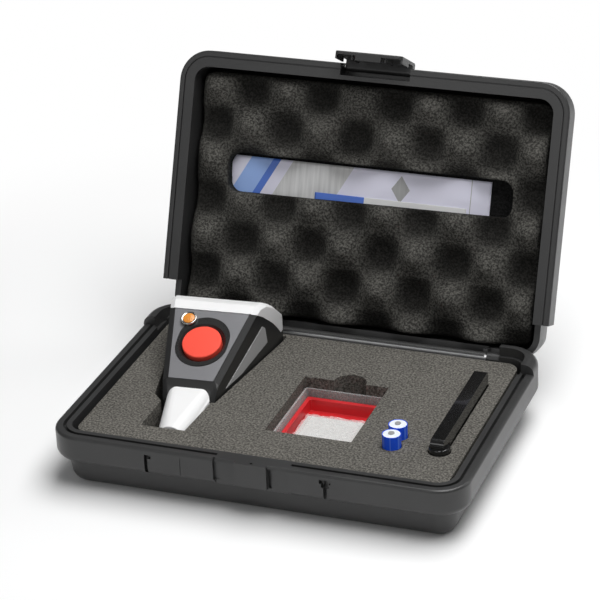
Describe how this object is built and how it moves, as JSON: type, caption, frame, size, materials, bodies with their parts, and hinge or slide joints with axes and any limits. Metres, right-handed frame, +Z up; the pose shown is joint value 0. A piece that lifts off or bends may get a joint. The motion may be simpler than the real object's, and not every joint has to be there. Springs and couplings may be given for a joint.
{
  "type": "handheld tube tester kit",
  "caption": "Hand-held tube tester with a conical probe nose and push button, in an open foam-lined plastic carrying case with accessories.",
  "frame": {"origin": "centre of the case base's underside, on the table", "axes": "+X to the right along the case front, +Y to the hinge at the back, +Z up"},
  "size_m": [0.275, 0.2889, 0.2187],
  "materials": {
    "case_plastic": "fine moulded grain",
    "steel": "bright drawn",
    "grey_foam": "cut open-cell foam",
    "dark_foam": "convoluted open-cell foam",
    "paper": "coated paper",
    "tester_black": "gloss moulded",
    "white_plastic": "satin moulded",
    "grey_plastic": "satin sheet",
    "lens": "polished",
    "red_plastic": "satin moulded",
    "chrome": "polished",
    "amber_lens": "faceted",
    "board": "solder mask",
    "cell_can": "printed film",
    "clear_plastic": "clear",
    "red_liner": "moulded",
    "blue_wrap": "printed film",
    "gloss_black": "polished"
  },
  "bodies": {
    "base": {"base_shell": "case_plastic", "hinge_rod": "steel", "base_pad": "grey_foam", "base_foam": "grey_foam"},
    "lid": {"lid_shell": "case_plastic", "lid_foam": "dark_foam", "leaflet_front": "paper", "leaflet_back": "paper", "latch_pin": "steel"},
    "latch": {"latch_flap": "case_plastic"},
    "tester": {"lower_housing": "tester_black", "upper_housing": "tester_black", "rear_cap": "white_plastic", "face_plate": "grey_plastic", "side_inlays": "grey_plastic", "nose_cone": "white_plastic", "nose_lens": "lens", "button_dish": "tester_black", "push_switch": "tester_black", "lamp_bezel": "chrome", "lamp_lens": "amber_lens", "circuit_board": "board", "cell_cradle": "tester_black", "fitted_cells": "cell_can", "cell_contacts": "steel", "cell_door": "tester_black", "housing_screws": "steel", "button_spring": "steel"},
    "button": {"push_button": "red_plastic"},
    "sample_box": {"box_tray": "clear_plastic", "box_liner": "red_liner"},
    "bagged_plate": {"sample_plate": "grey_plastic", "plate_bag": "clear_plastic"},
    "front_cell": {"front_cell_can": "white_plastic", "front_cell_wrap": "blue_wrap"},
    "rear_cell": {"rear_cell_can": "white_plastic", "rear_cell_wrap": "blue_wrap"},
    "bar": {"bar_body": "gloss_black", "bar_end_cap": "gloss_black"}
  },
  "joints": [
    {"name": "lid_hinge", "type": "hinge", "parent": "base", "child": "lid", "pos_m": [0, 0.089, 0.035], "axis": [-1, 0, 0], "range_deg": [-111.6, 0]},
    {"name": "latch_hinge", "type": "hinge", "parent": "lid", "child": "latch", "pos_m": [0.002, 0.16883, 0.1986], "axis": [-1, 0, 0], "range_deg": [-8, 90]},
    {"name": "tester_lift", "type": "slide", "parent": "base", "child": "tester", "axis": [0, 0, 1], "range_m": [0, 0.06]},
    {"name": "button_press", "type": "slide", "parent": "tester", "child": "button", "axis": [-0.0333, 0.4134, -0.91], "range_m": [0, 0.0025], "stiffness_N_per_m": 400, "springref_m": -0.003, "deforming": ["button_spring"]},
    {"name": "box_lift", "type": "slide", "parent": "base", "child": "sample_box", "axis": [0, 0, 1], "range_m": [0, 0.05]},
    {"name": "plate_lift", "type": "slide", "parent": "sample_box", "child": "bagged_plate", "axis": [0, 0, 1], "range_m": [0, 0.04]},
    {"name": "front_cell_lift", "type": "slide", "parent": "base", "child": "front_cell", "axis": [0, 0, 1], "range_m": [0, 0.04]},
    {"name": "rear_cell_lift", "type": "slide", "parent": "base", "child": "rear_cell", "axis": [0, 0, 1], "range_m": [0, 0.04]},
    {"name": "bar_lift", "type": "slide", "parent": "base", "child": "bar", "axis": [0, 0, 1], "range_m": [0, 0.04]}
  ]
}
